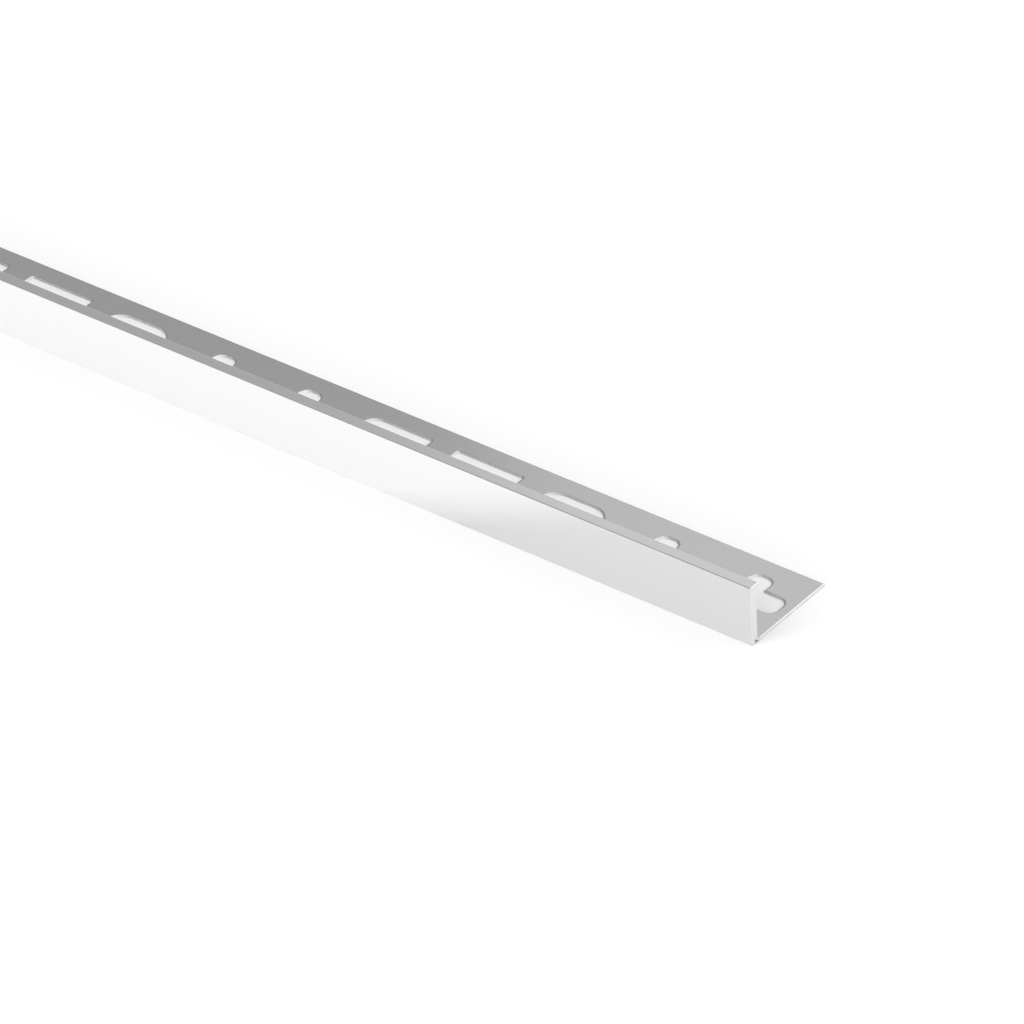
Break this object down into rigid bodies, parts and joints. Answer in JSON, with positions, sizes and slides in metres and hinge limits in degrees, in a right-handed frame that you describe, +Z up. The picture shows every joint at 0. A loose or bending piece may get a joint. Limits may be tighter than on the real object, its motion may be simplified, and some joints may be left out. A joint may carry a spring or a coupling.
{
  "type": "tile edge trim",
  "caption": "Straight L-shaped metal tile edge trim: an upright wall with a wider flat rim, and a thin leg punched with crosses and windows that key into the adhesive.",
  "frame": {"origin": "bottom centre of the overall box, on the plane of the leg's underside", "axes": "+X along the trim, +Y from the visible face of the wall to the back edge of the leg, +Z up the wall"},
  "size_m": [1, 0.0216, 0.0125],
  "materials": {
    "trim": "satin bright, with fine lengthwise extrusion lines"
  },
  "bodies": {
    "root": {"trim_profile": "trim"}
  },
  "joints": []
}
